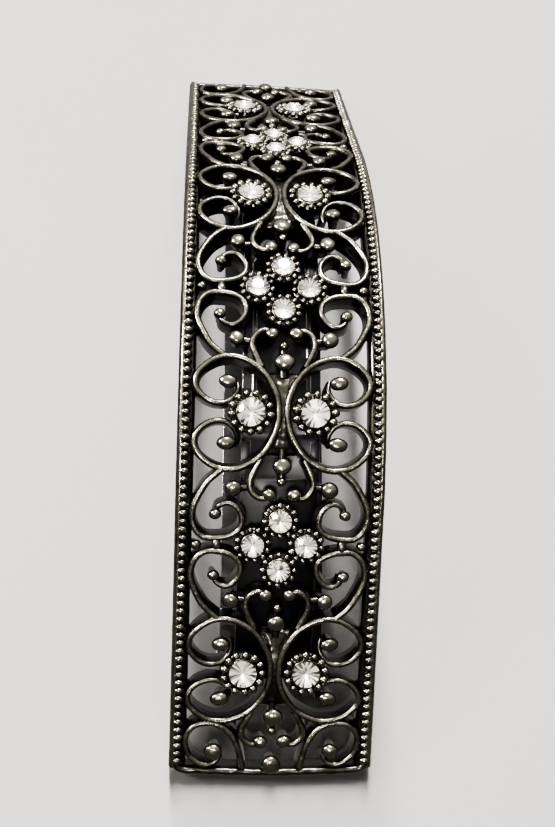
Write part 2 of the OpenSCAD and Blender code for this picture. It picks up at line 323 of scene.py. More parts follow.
# %% The bend as a group
def new_geometry_tree(name, inputs):
    """A tree with named inputs: label to (socket type, value)."""
    tree = bpy.data.node_groups.new(name, "GeometryNodeTree")
    tree.interface.new_socket("Geometry", in_out="INPUT", socket_type="NodeSocketGeometry")
    tree.interface.new_socket("Geometry", in_out="OUTPUT", socket_type="NodeSocketGeometry")
    for label, (kind, value) in inputs.items():
        socket = tree.interface.new_socket(label, in_out="INPUT", socket_type="NodeSocket" + kind)
        if value is not None:
            socket.default_value = value
    return tree, tree.nodes.new("NodeGroupInput").outputs


def store(tree, geometry, name, value):
    """Stores a number for each point."""
    inputs = {"Geometry": geometry, "Name": name, "Value": value}
    kind = {"data_type": "FLOAT", "domain": "POINT"}
    return add(tree, "GeometryNodeStoreNamedAttribute", inputs, **kind).outputs[0]


def stored(tree, name, kind="FLOAT"):
    """Reads an attribute of each point."""
    return add(tree, "GeometryNodeInputNamedAttribute", {"Name": name}, data_type=kind).outputs[0]


BEND_INPUTS = {
    "Arch radius": ("Float", ARCH_RADIUS * MM),
    "Arch half": ("Float", ARCH_HALF * MM),
    "Lift": ("Float", LIFT * MM),
}


def build_bend():
    tree, given = new_geometry_tree("bend_over_arch", BEND_INPUTS)
    spot = add(tree, "GeometryNodeInputPosition").outputs[0]
    spot = add(tree, "ShaderNodeSeparateXYZ", {0: spot}).outputs
    marked = store(tree, given["Geometry"], "rise", calc(tree, "MULTIPLY", spot["Z"], 1 / MM))
    far = calc(tree, "ABSOLUTE", spot["Y"])
    bent = calc(tree, "MINIMUM", far, given["Arch half"])
    straight = calc(tree, "SUBTRACT", far, bent)
    turn = calc(tree, "DIVIDE", bent, given["Arch radius"])
    sine, cosine = calc(tree, "SINE", turn), calc(tree, "COSINE", turn)
    arm = calc(tree, "ADD", given["Arch radius"], spot["Z"])
    y = calc(tree, "MULTIPLY_ADD", straight, cosine, calc(tree, "MULTIPLY", arm, sine))
    down = calc(tree, "MULTIPLY_ADD", straight, sine, given["Arch radius"])
    z = calc(tree, "SUBTRACT", calc(tree, "MULTIPLY_ADD", arm, cosine, given["Lift"]), down)
    place = {"X": spot["X"], "Y": calc(tree, "MULTIPLY", y, calc(tree, "SIGN", spot["Y"]))}
    place["Z"] = calc(tree, "MAXIMUM", z, 0.0)
    place = add(tree, "ShaderNodeCombineXYZ", place).outputs[0]
    moved = add(tree, "GeometryNodeSetPosition", {"Geometry": marked, "Position": place}).outputs[0]
    add(tree, "NodeGroupOutput", {"Geometry": moved})
    return tree


bend_group = build_bend()
print("geometry group", bend_group.name, "has", len(bend_group.nodes), "nodes")

# %% [markdown]
# Nothing cast by hand is quite even, so before the bend the flat pattern is shaken by
# smooth noise, a few hundredths of a millimetre. Highlights then wander as they do on the
# real metal. The same last steps, shake, bend, smooth shading and material, end every
# cast tree, so they are one function.

# %% The last steps of every cast tree
CAST_INPUTS = {
    "Unevenness": ("Float", 0.14 * MM),
    "Noise scale": ("Float", 450.0),
    "Finish": ("Material", None),
    **BEND_INPUTS,
}


def shaken(tree, geometry, depth, scale):
    spot = add(tree, "GeometryNodeInputPosition").outputs[0]
    cloud = {0: noise(tree, spot, scale, detail=2.0, output="Color"), 1: (0.5, 0.5, 0.5)}
    middle = add(tree, "ShaderNodeVectorMath", cloud, operation="SUBTRACT").outputs[0]
    moved = {"Geometry": geometry, "Offset": scaled(tree, middle, depth)}
    return add(tree, "GeometryNodeSetPosition", moved).outputs[0]


def finish_cast(tree, given, geometry):
    whole = add(tree, "GeometryNodeRealizeInstances", {0: geometry}).outputs[0]
    whole = shaken(tree, whole, given["Unevenness"], given["Noise scale"])
    bend_inputs = {"Geometry": whole, **{label: given[label] for label in BEND_INPUTS}}
    bent = add(tree, "GeometryNodeGroup", bend_inputs, node_tree=bend_group).outputs[0]
    smooth = add(tree, "GeometryNodeSetShadeSmooth", {"Geometry": bent}).outputs[0]
    painted = {"Geometry": smooth, "Material": given["Finish"]}
    painted = add(tree, "GeometryNodeSetMaterial", painted).outputs[0]
    add(tree, "NodeGroupOutput", {"Geometry": painted})


print("cast trees share", len(CAST_INPUTS), "inputs")

# %% [markdown]
# ## Two trees make the whole casting
#
# Everything on the plate is either a wall that follows a path or a small body set at a
# point. So there are two trees. The first draws walls: points joined by edges become
# smooth curves, cut into even short steps, and a profile is swept along them. Up stays up
# on the whole path, so a scroll's top stays level.


# %% A tree that sweeps a profile along paths
def build_sweep():
    inputs = {"Profile": ("Object", None), "Step": ("Float", 0.3 * MM), **CAST_INPUTS}
    tree, given = new_geometry_tree("walls_on_paths", inputs)
    curve = add(tree, "GeometryNodeMeshToCurve", {0: given["Geometry"]}).outputs[0]
    smooth = {"spline_type": "CATMULL_ROM"}
    curve = add(tree, "GeometryNodeCurveSplineType", {0: curve}, **smooth).outputs[0]
    cut = {0: curve, "Length": given["Step"]}
    curve = add(tree, "GeometryNodeResampleCurve", cut, mode="LENGTH").outputs[0]
    curve = add(tree, "GeometryNodeSetCurveNormal", {0: curve}, mode="Z_UP").outputs[0]
    shape = add(tree, "GeometryNodeObjectInfo", {"Object": given["Profile"]}).outputs["Geometry"]
    shape = add(tree, "GeometryNodeMeshToCurve", {0: shape}).outputs[0]
    sweep = {"Curve": curve, "Profile Curve": shape, "Fill Caps": True}
    sweep["Scale"] = stored(tree, "girth")
    finish_cast(tree, given, add(tree, "GeometryNodeCurveToMesh", sweep).outputs[0])
    return tree


sweep_tree = build_sweep()
print("tree", sweep_tree.name, "has", len(sweep_tree.nodes), "nodes")

# %% [markdown]
# The second tree sets small bodies at points: pellets, granules, the beads of the long
# edges and the stones' cups. Each point carries a size and a turn, and each body gets a
# little random size of its own, because the beads of a cast pattern were pressed by hand.


# %% A tree that sets bodies at points
def build_scatter():
    inputs = {
        "Body": ("Object", None),
        "Size spread": ("Float", 0.06),
        "Lean": ("Float", 0.12),
        "Seed": ("Int", 5),
        **CAST_INPUTS,
    }
    tree, given = new_geometry_tree("bodies_at_points", inputs)
    points = add(tree, "GeometryNodeMeshToPoints", {"Mesh": given["Geometry"]}).outputs[0]
    low = calc(tree, "SUBTRACT", 1.0, given["Size spread"])
    high = calc(tree, "ADD", 1.0, given["Size spread"])
    own = {2: low, 3: high, "Seed": given["Seed"]}
    own_size = add(tree, "FunctionNodeRandomValue", own, data_type="FLOAT").outputs[1]
    size = scaled(tree, stored(tree, "size", "FLOAT_VECTOR"), own_size)
    lean = {0: (-1, -1, 0), 1: (1, 1, 0), "Seed": given["Seed"]}
    lean = add(tree, "FunctionNodeRandomValue", lean, data_type="FLOAT_VECTOR").outputs[0]
    lean = scaled(tree, lean, given["Lean"])
    turn = add(tree, "ShaderNodeCombineXYZ", {"Z": stored(tree, "turn")}).outputs[0]
    turn = add(tree, "ShaderNodeVectorMath", {0: turn, 1: lean}, operation="ADD").outputs[0]
    body = add(tree, "GeometryNodeObjectInfo", {"Object": given["Body"]}).outputs["Geometry"]
    bodies = {"Points": points, "Instance": body, "Rotation": turn, "Scale": size}
    finish_cast(tree, given, add(tree, "GeometryNodeInstanceOnPoints", bodies).outputs[0])
    return tree


scatter_tree = build_scatter()
print("tree", scatter_tree.name, "has", len(scatter_tree.nodes), "nodes")

# %% [markdown]
# ## From a chart to a piece
#
# The pattern is charted once, for a quarter of the plate round one row of two stones, and
# mirrored and repeated from there. These helpers turn charts into source meshes, run a
# tree on them, and keep the result as a plain mesh on its body. Profiles and single beads
# are only tools, so they are thrown away at the end.

# %% Source meshes and baking
tools = []


def mesh_from(name, points, edges=(), faces=()):
    mesh = bpy.data.meshes.new(name)
    mesh.from_pydata([Vector(p) * MM for p in points], edges, faces)
    mesh.update()
    return mesh


def tool(name, mesh):
    obj = new_object(name, mesh)
    tools.append(obj)
    return obj


def outline_tool(name, outline):
    """A closed profile. Columns: outwards from the path, height over the face."""
    count = len(outline)
    edges = [(i, (i + 1) % count) for i in range(count)]
    return tool(name, mesh_from(name, [(x, -h, 0) for x, h in outline], edges))


def face_outwards(mesh):
    shape = bmesh.new()
    shape.from_mesh(mesh)
    bmesh.ops.recalc_face_normals(shape, faces=shape.faces)
    shape.to_mesh(mesh)
    shape.free()


def bake(name, tree, source, values):
    """Runs a tree on a source mesh and keeps the result as a plain mesh of gunmetal."""
    obj = new_object(name, source)
    modifier = obj.modifiers.new("build", "NODES")
    modifier.node_group = tree
    values = {**values, "Finish": gunmetal}
    for item in tree.interface.items_tree:
        if item.in_out == "INPUT" and item.name in values:
            modifier[item.identifier] = values[item.name]
    bpy.context.view_layer.update()
    graph = bpy.context.evaluated_depsgraph_get()
    made = bpy.data.meshes.new_from_object(obj.evaluated_get(graph))
    obj.modifiers.remove(modifier)
    obj.data = made
    face_outwards(made)
    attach(obj, "frame")
    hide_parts("openwork_plate")
    print(name, "has", sum(len(p.vertices) - 2 for p in made.polygons), "triangles")


# %% [markdown]
# ## The scrollwork
#
# In the photograph the scrolls are bright rounded ridges about half a millimetre wide,
# standing on dark flanks that widen downwards, as cast walls do. So the profile is round
# on top and flares to its foot. One chart holds the big scroll beside a row, the side
# scroll between rows, the small tulip on the middle line, and the wider end scroll.

# %% Charts of the scrolls
# Columns: across, along from the row, in millimetres
BIG_SCROLL = [
    (0.45, 0), (0.55, 1.2), (1, 2.6), (1.9, 4.1), (3.2, 5.2), (4.8, 5.9), (6.4, 5.9), (7.9, 5.2),
    (9, 4), (9.15, 2.7), (8.4, 1.6), (7.3, 1), (6.1, 1), (5.2, 1.6), (4.75, 2.6), (4.95, 3.6),
]
SIDE_SCROLL = [
    (6.1, 5.9), (7.6, 7.2), (8.5, 8.6), (9.1, 10), (9.2, 11.2), (8.8, 12.4), (7.9, 13.2),
    (6.7, 13.3), (5.2, 13), (4.2, 12.2), (4.05, 11), (4.7, 9.9), (5.6, 9.5), (6.5, 9.9),
    (6.8, 10.7),
]
TULIP = [(2.3, 4.9), (2.9, 6.1), (3.3, 7.2), (3.2, 8.1), (2.6, 8.8), (1.9, 9), (1.2, 8.6)]
END_SCROLL = [
    (3.1, 10.8), (3.5, 9), (4.1, 7.5), (5.1, 6.3), (6.6, 5.7), (8.2, 5.9), (9.2, 7), (9.2, 8.4),
    (8.6, 9.6), (7.2, 10.4), (6, 10.1), (5.5, 9.2),
]
# Columns: half width, height over the face
WALL_HALF = [
    (0.46, -2.35), (0.42, -1.3), (0.38, -0.6), (0.36, -0.3), (0.32, -0.1), (0.22, 0.04),
    (0.1, 0.1), (0, 0.11),
]
TAIL_GIRTH = 0.8
TAIL_POWER = 3
SINK_POWER = 8


def both_halves(half):
    return half + [(-x, h) for x, h in reversed(half[:-1])]


def quarters():
    """Each quarter: row, side, way, and the shortening of its pattern."""
    for row in ROWS:
        for way in (-1, 1):
            squeeze = END_SQUEEZE if row * way >= ROWS[-1] else 1.0
            for side in (-1, 1):
                yield row, side, way, squeeze


def drawn(chart, row, side, way, squeeze, height, sink=0.0):
    """A chart's points in place: a scroll gets thinner towards its tail, and may sink there."""
    last = len(chart) - 1
    points = []
    for i, (x, y) in enumerate(chart):
        share = i / last
        girth = 1 - (1 - TAIL_GIRTH) * share**TAIL_POWER
        h = height - sink * share**SINK_POWER
        points.append((side * x, row + way * squeeze * y, h, girth))
    return points


def path_mesh(name, paths):
    points, edges = [], []
    for path in paths:
        edges += [(len(points) + i, len(points) + i + 1) for i in range(len(path) - 1)]
        points += path
    mesh = mesh_from(name, [p[:3] for p in points], edges)
    girth = mesh.attributes.new("girth", "FLOAT", "POINT")
    for item, p in zip(girth.data, points):
        item.value = p[3]
    return mesh


charts = (BIG_SCROLL, SIDE_SCROLL, TULIP, END_SCROLL)
print("points in each chart:", [len(chart) for chart in charts])

# %% Sweep the scrolls
BIG_SINK = 0.9
TULIP_TOP = -0.06
SIDE_TOP = -0.03
SIDE_SINK = 0.3

wall_profile = outline_tool("wall_profile", both_halves(WALL_HALF))
scroll_paths = []
for row, side, way, squeeze in quarters():
    if way > 0:
        near = END_SQUEEZE if row == ROWS[0] else 1.0
        before = drawn(BIG_SCROLL, row, side, -1, near, 0, BIG_SINK)
        after = drawn(BIG_SCROLL, row, side, 1, squeeze, 0, BIG_SINK)
        scroll_paths.append(before[:0:-1] + after)
    scroll_paths.append(drawn(TULIP, row, side, way, squeeze, TULIP_TOP))
    outer = END_SCROLL if squeeze < 1 else SIDE_SCROLL
    scroll_paths.append(drawn(outer, row, side, way, 1, SIDE_TOP, SIDE_SINK))
scroll_mesh = path_mesh("scroll_paths", scroll_paths)
bake("scrollwork", sweep_tree, scroll_mesh, {"Profile": wall_profile})

# %% [markdown]
# ## The long edges, the end rims and the webs
#
# The same tree sweeps everything else that follows a line. A long edge has a dark upright
# wall on the outside, a bright rounded ridge on top of it, and inside that a deep bed for
# its rungs. An end rim is a plain thin wall. Between two big scrolls the casting is nearly
# solid: a low web fills the waist there, and a thin spine carries the pellets on the
# middle line.

# %% Sweep the edges, rims and webs
# Profiles. Columns: outwards from the path, height over the face
EDGE_OUTLINE = [
    (0.97, -2.27), (0.98, -0.7), (0.95, -0.4), (0.84, -0.12), (0.7, 0.08), (0.52, 0.14),
    (0.36, 0.08), (0.24, -0.2), (0.1, -0.55), (-0.4, -0.6), (-0.66, -0.7), (-0.8, -1.2),
    (-0.84, -2.27),
]
RIM_HALF = [(0.44, -2.35), (0.42, -0.7), (0.36, -0.42), (0.2, -0.28), (0, -0.24)]
WEB_HALF = [(0.5, -2.2), (0.46, -1.1), (0.36, -0.62), (0.16, -0.5), (0, -0.48)]
EDGE_LINE = 10.0
EDGE_RUN = 52.6
EDGE_STEPS = 60
RIM_LINE = [(10.35, 51.55), (10.3, 52.45), (9.65, 53.05), (7.8, 53.2), (4.1, 53.35), (0, 53.45)]
SPINE = [(0, 3.8), (0, 7.4)]
SIDE_BRACKET = [(3.1, 7.8), (4.2, 7.95), (5, 7.9)]
BRACKET_TOP = 0.15

edge_paths = []
for side in (-1, 1):
    ends = (-side * EDGE_RUN, side * EDGE_RUN)
    steps = [ends[0] + (ends[1] - ends[0]) * i / EDGE_STEPS for i in range(EDGE_STEPS + 1)]
    edge_paths.append([(side * EDGE_LINE, s, 0, 1) for s in steps])
edge_profile = outline_tool("edge_profile", EDGE_OUTLINE)
edge_values = {"Step": 0.45 * MM, "Unevenness": 0.09 * MM, "Noise scale": 700.0}
edge_values["Profile"] = edge_profile
bake("long_edges", sweep_tree, path_mesh("edge_paths", edge_paths), edge_values)

rim_profile = outline_tool("rim_profile", both_halves(RIM_HALF))
rim_paths = [[(x, way * s, 0, 1) for x, s in both_halves(RIM_LINE)] for way in (-1, 1)]
rim_values = {"Profile": rim_profile, "Unevenness": 0.22 * MM, "Noise scale": 1100.0}
bake("end_rims", sweep_tree, path_mesh("rim_paths", rim_paths), rim_values)

web_profile = outline_tool("web_profile", both_halves(WEB_HALF))
web_paths = []
for row, side, way, squeeze in quarters():
    if side > 0:
        web_paths.append(drawn(SPINE, row, 1, way, squeeze, 0))
    if squeeze == 1:
        web_paths.append(drawn(SIDE_BRACKET, row, side, way, 1, BRACKET_TOP))
web_values = {"Profile": web_profile, "Unevenness": 0.2 * MM}
bake("spines", sweep_tree, path_mesh("web_paths", web_paths), web_values)

# %% [markdown]
# The web in the waist is a slab that widens as the scrolls part, so it can't be a swept
# profile. It is lofted through rings from a short table, and a third, small tree cuts it
# finer, so that the casting's unevenness shows on it as a rough skin.


# %% Webs of the waists
# Columns: along from the row, half width, height over the face
WAIST = [
    (0, 0.4, -0.2), (1.2, 0.5, -0.25), (2.6, 0.95, -0.5), (3.6, 1.45, -0.7), (4.2, 1.75, -0.9),
    (4.5, 1.5, -1.2),
]
WEB_FOOT = -2.25
WEB_SHOULDER = 0.2
RING = 6


def build_plain_cast():
    tree, given = new_geometry_tree("cut_finer_and_cast", {"Cuts": ("Int", 3), **CAST_INPUTS})
    cut = {0: given["Geometry"], "Level": given["Cuts"]}
    finish_cast(tree, given, add(tree, "GeometryNodeSubdivideMesh", cut).outputs[0])
    return tree


def web_mesh(name):
    points, faces = [], []
    for row in ROWS:
        near, far = (END_SQUEEZE if row * way >= ROWS[-1] else 1.0 for way in (-1, 1))
        lines = [(-near * y, w, h) for y, w, h in reversed(WAIST[1:])]
        lines += [(far * y, w, h) for y, w, h in WAIST]
        first = len(points)
        for y, w, h in lines:
            half = [(w, WEB_FOOT), (w, h - WEB_SHOULDER), (0.5 * w, h)]
            ring = [(-x, z) for x, z in half] + half[::-1]
            points += [(x, row + y, z) for x, z in ring]
        for i in range(len(lines) - 1):
            for k in range(RING):
                a, b = first + RING * i + k, first + RING * i + (k + 1) % RING
                faces.append((a, b, b + RING, a + RING))
        end = first + RING * (len(lines) - 1)
        faces.append(tuple(range(first, first + RING)))
        faces.append(tuple(range(end + RING - 1, end - 1, -1)))
    return mesh_from(name, points, (), faces)


plain_tree = build_plain_cast()
waist_values = {"Unevenness": 0.3 * MM, "Noise scale": 1000.0}
bake("waist_webs", plain_tree, web_mesh("waist_slabs"), waist_values)

# %% [markdown]
# ## Pellets and beads
#
# A pellet is a round dome on a stalk that narrows downwards, so from above it hides its own
# foot. One lathed body of unit radius serves for all of them: the chart gives each its
# half width and half length. Heights are not scaled, so every stalk reaches the same depth.

# %% A lathed body
def lathe(name, outline, sides):
    """Columns of the outline: radius, height; from the foot's middle to the top's middle."""
    shape = bmesh.new()
    rings = []
    for radius, height in outline:
        count = sides if radius > 0 else 1
        angles = [2 * math.pi * k / count for k in range(count)]
        place = [Vector((radius * math.cos(a), radius * math.sin(a), height)) * MM for a in angles]
        rings.append([shape.verts.new(p) for p in place])
    for low, high in zip(rings, rings[1:]):
        for k in range(sides):
            corners = [low[k % len(low)], low[(k + 1) % len(low)]]
            corners += [high[(k + 1) % len(high)], high[k % len(high)]]
            corners = list(dict.fromkeys(corners))
            if len(corners) > 2:
                shape.faces.new(corners)
    mesh = bpy.data.meshes.new(name)
    shape.to_mesh(mesh)
    shape.free()
    return tool(name, mesh)


def point_mesh(name, points):
    """Columns: across, along, height, size in each direction, turn."""
    mesh = mesh_from(name, [p[:3] for p in points])
    mesh.attributes.new("size", "FLOAT_VECTOR", "POINT")
    mesh.attributes.new("turn", "FLOAT", "POINT")
    size, turn = mesh.attributes["size"].data, mesh.attributes["turn"].data
    for i, p in enumerate(points):
        size[i].vector = p[3:6]
        turn[i].value = p[6]
    return mesh


PELLET_OUTLINE = [
    (0, -2.6), (0.5, -2.6), (0.62, -1.7), (0.84, -1.05), (0.97, -0.78), (1, -0.58), (0.96, -0.38),
    (0.85, -0.21), (0.66, -0.09), (0.4, -0.02), (0.15, 0), (0, 0),
]
pellet_body = lathe("pellet_body", PELLET_OUTLINE, sides=20)
print("pellet body has", len(pellet_body.data.vertices), "points")

# %% Set the pellets
# Of a quarter. Columns: across, along, half width, half length, top over the face, turn
PELLETS = [
    (5.8, 3.2, 1.0, 0.72, 0.35, 0.1),
    (5, 8, 0.9, 0.85, 0.45, 0.4),
    (6.8, 10.7, 0.66, 0.58, 0.3, 0.2),
    (1.25, 8.6, 0.8, 0.7, 0.3, -0.3),
]
SIDE_PELLETS = (1, 2)
MIDDLE_PELLETS = [(0, 5.5, 1.05, 0.92, 0.45, 0), (0, 7.2, 0.5, 0.5, 0.2, 0)]
END_PELLETS = [
    (6.3, 8.8, 0.95, 0.85, 0.35, 0),
    (-6.3, 8.8, 0.95, 0.85, 0.35, 0),
    (0, 10.4, 1, 1, 0.3, 0),
]
# Beside a cluster. Columns: across, half width, half length, top over the face
LINK_BARS = (6.6, 0.5, 0.75, 0.12)
EDGE_PELLETS = (8.7, 0.55, 0.5, 0.12)

pellet_points = []


def set_pellet(pellet, row, side, way, squeeze):
    x, y, half_w, half_l, top, turn = pellet
    along = row + way * squeeze * y
    pellet_points.append((side * x, along, top, half_w, half_l, 1, side * way * turn))


for row, side, way, squeeze in quarters():
    for i, pellet in enumerate(PELLETS):
        if squeeze == 1 or i not in SIDE_PELLETS:
            set_pellet(pellet, row, side, way, squeeze)
    if side > 0:
        for pellet in MIDDLE_PELLETS:
            set_pellet(pellet, row, 1, way, squeeze)
        for pellet in END_PELLETS if squeeze < 1 else ():
            set_pellet(pellet, row, 1, way, 1)
for cluster in CLUSTERS:
    for side in (-1, 1):
        for x, half_w, half_l, top in (LINK_BARS, EDGE_PELLETS):
            set_pellet((x, 0, half_w, half_l, top, 0), cluster, side, 1, 1)
pellet_mesh = point_mesh("pellet_points", pellet_points)
bake("pellets", scatter_tree, pellet_mesh, {"Body": pellet_body, "Seed": 3})

# %% [markdown]
# The beads of the long edges lie side by side like the rungs of a ladder: wider across the
# edge than along it, with a dark nick between neighbours.

# %% Set the beads of the long edges
BEAD_PITCH = 0.88
BEAD_LINE = 10.16
BEAD_HEIGHT = -0.2
BEAD_HALF_W = 0.6
BEAD_HALF_L = 0.42
BEAD_OUTLINE = [
    (0, -0.7), (0.8, -0.55), (1, -0.3), (1, -0.1), (0.93, 0.1), (0.75, 0.27), (0.45, 0.38),
    (0, 0.42),
]
bead_body = lathe("bead_body", BEAD_OUTLINE, sides=12)
bead_points = []
bead_count = int(2 * EDGE_RUN / BEAD_PITCH)
for side in (-1, 1):
    for i in range(bead_count):
        s = (i - (bead_count - 1) / 2) * BEAD_PITCH
        place = (side * BEAD_LINE, s, BEAD_HEIGHT)
        bead_points.append((*place, BEAD_HALF_W, BEAD_HALF_L, 1, 0))
bead_values = {"Body": bead_body, "Size spread": 0.1, "Lean": 0.15, "Seed": 11}
bead_values["Unevenness"] = 0.08 * MM
bake("edge_beads", scatter_tree, point_mesh("bead_points", bead_points), bead_values)

# %% [markdown]
# ## Cups and granules
#
# Each stone sits in a cup with a thin lip, bent over its girdle. Round the cup runs a
# collar with a ring of granules and a dark groove between. A cup is a lathed body, cast in
# one with the plate; the granules are set as the pellets are.

# %% Places of the stones
LARGE_STONE = 1.46
SMALL_STONE = 1.17
ROW_HALF = 3.37
CLUSTER_HALF_W = 2.8
CLUSTER_HALF_L = 2.65
large_places = [(side * ROW_HALF, row) for row in ROWS for side in (-1, 1)]
CLUSTER_PLACES = [
    (0, -CLUSTER_HALF_L), (-CLUSTER_HALF_W, 0), (CLUSTER_HALF_W, 0), (0, CLUSTER_HALF_L),
]
small_places = [(x, cluster + y) for cluster in CLUSTERS for x, y in CLUSTER_PLACES]
print(len(large_places), "large stones and", len(small_places), "small ones")


# %% Cups
LARGE_COLLAR = 0.74
SMALL_COLLAR = 0.66


def cup_body(name, stone, collar):
    """A cup with the room for its stone, from its foot's middle to its floor's middle."""
    outer = stone + collar
    outline = [
        (0, -2.25), (outer - 0.35, -2.25), (outer - 0.1, -1.2), (outer, -0.6),
        (outer - 0.05, -0.42), (outer - 0.16, -0.34), (stone + 0.3, -0.36),
        (stone + 0.2, -0.24), (stone + 0.15, 0), (stone + 0.09, 0.14), (stone + 0.03, 0.15),
        (stone + 0.03, 0.05), (stone + 0.05, -0.1), (stone + 0.04, -0.5), (stone - 0.1, -0.72),
        (0, -0.72),
    ]
    return lathe(name, outline, sides=32)


def bake_cups(kind, places, stone, collar):
    values = {"Body": cup_body(f"{kind}_cup_body", stone, collar)}
    values.update({"Unevenness": 0.04 * MM, "Size spread": 0.0, "Lean": 0.0})
    spots = point_mesh(f"{kind}_cup_points", [(u, s, 0, 1, 1, 1, 0) for u, s in places])
    bake(f"{kind}_cups", scatter_tree, spots, values)


bake_cups("large", large_places, LARGE_STONE, LARGE_COLLAR)
bake_cups("small", small_places, SMALL_STONE, SMALL_COLLAR)

# %% Rings of granules
# Columns: radius of the ring, granules in it, size of each, height over the face
LARGE_RING = (2.05, 13, 0.47, -0.08)
SMALL_RING = (1.64, 12, 0.37, -0.2)
RING_TURN = 0.37
GRANULE_LENGTH = 0.9
GRANULE = [
    (0, -1), (0.6, -0.8), (0.92, -0.4), (1, 0), (0.92, 0.4), (0.7, 0.72), (0.38, 0.93), (0, 1),
]


def ring_points(places, ring):
    """Each ring is turned a little further than the one before."""
    radius, count, size, height = ring
    points = []
    for i, (u, s) in enumerate(places):
        for k in range(count):
            angle = 2 * math.pi * (k + RING_TURN * i) / count
            x, y = u + radius * math.cos(angle), s + radius * math.sin(angle)
            points.append((x, y, height, size, size * GRANULE_LENGTH, size, angle))
    return points


granule_points = ring_points(large_places, LARGE_RING) + ring_points(small_places, SMALL_RING)
granule_values = {"Body": lathe("granule_body", GRANULE, sides=12)}
granule_values.update({"Size spread": 0.14, "Lean": 0.3, "Seed": 8})
bake("granules", scatter_tree, point_mesh("granule_points", granule_points), granule_values)

# %% [markdown]
# ## Rhinestones
#
# A rhinestone is cut glass over a silvered back. Light enters through the crown, is thrown
# back by the mirrored facets and leaves again, which makes the sparkle and its dark rays.
# So each stone is one closed body: crown and girdle in clear glass, the pointed back in
# mirror foil. The dark rays and the uneven lightness of the back's facets are painted
# into the foil's colour, as painted reflections. The facets are those of a simple
# brilliant, and each stone is turned by its own angle, as it fell into its cup.


# %% Glass and foil
GLASS_TINT = (1, 1, 0.98)
GLASS_IOR = 1.56
# The foil is painted dark on its rays and darker on some faces of the back: painted reflection of
# dark surroundings
FOIL_PAINTED_DARK = (0.06, 0.06, 0.06)
FOIL_BRIGHT = (1.0, 0.985, 0.935)


def speckled(tree, scale, low, high):
    """A small variation over the surface between two values."""
    cloud = noise(tree, object_place(tree), scale, detail=2.0)
    ends = {"Value": cloud, "To Min": low, "To Max": high}
    return add(tree, "ShaderNodeMapRange", ends).outputs["Result"]


def stone_glass():
    material, tree, shader = new_material("rhinestone_glass")
    shader.inputs["Base Color"].default_value = (*GLASS_TINT, 1)
    shader.inputs["Transmission Weight"].default_value = 1.0
    shader.inputs["IOR"].default_value = GLASS_IOR
    tree.links.new(speckled(tree, scale=1500.0, low=-0.1, high=0.05), shader.inputs["Roughness"])
    return material


def stone_foil():
    material, tree, shader = new_material("silvered_foil")
    shader.inputs["Metallic"].default_value = 1.0
    # Each face of the back is painted lighter or darker by its level, a painted reflection
    painted_reflection = add(tree, "ShaderNodeAttribute", attribute_name="painted_reflection_level").outputs["Fac"]
    tree.links.new(blend(tree, painted_reflection, FOIL_PAINTED_DARK, FOIL_BRIGHT), shader.inputs["Base Color"])
    tree.links.new(speckled(tree, scale=2500.0, low=0.25, high=0.4), shader.inputs["Roughness"])
    return material


glass, foil = stone_glass(), stone_foil()
print("stone finishes:", glass.name, foil.name)


# %% Cut one brilliant
# Sizes. Radii as shares of the girdle's radius, heights over the face in millimetres
TABLE_SIDES = 8
GIRDLE_SIDES = 2 * TABLE_SIDES
TABLE_SHARE, STAR_SHARE = 0.55, 0.8
TABLE_TOP, GIRDLE_TOP, GIRDLE_FOOT, CULET = 0.69, 0.32, 0.24, -0.58
# Random sizes of a ray painted dark: its half width in turns, and where it ends
HALF_RAYS = (0.008, 0.026)
RAY_ENDS = (0.15, 0.6)
# Painted lightness to draw from, a painted reflection, for the rays and the facets between and
# inside them
RAY_PAINTED_REFLECTION, OUTER_PAINTED_REFLECTION, INNER_PAINTED_REFLECTION = (0, 0, 0.1, 1), (0.5, 0.9, 1, 1), (0.1, 0.5, 1, 1)
dice = random.Random(7)


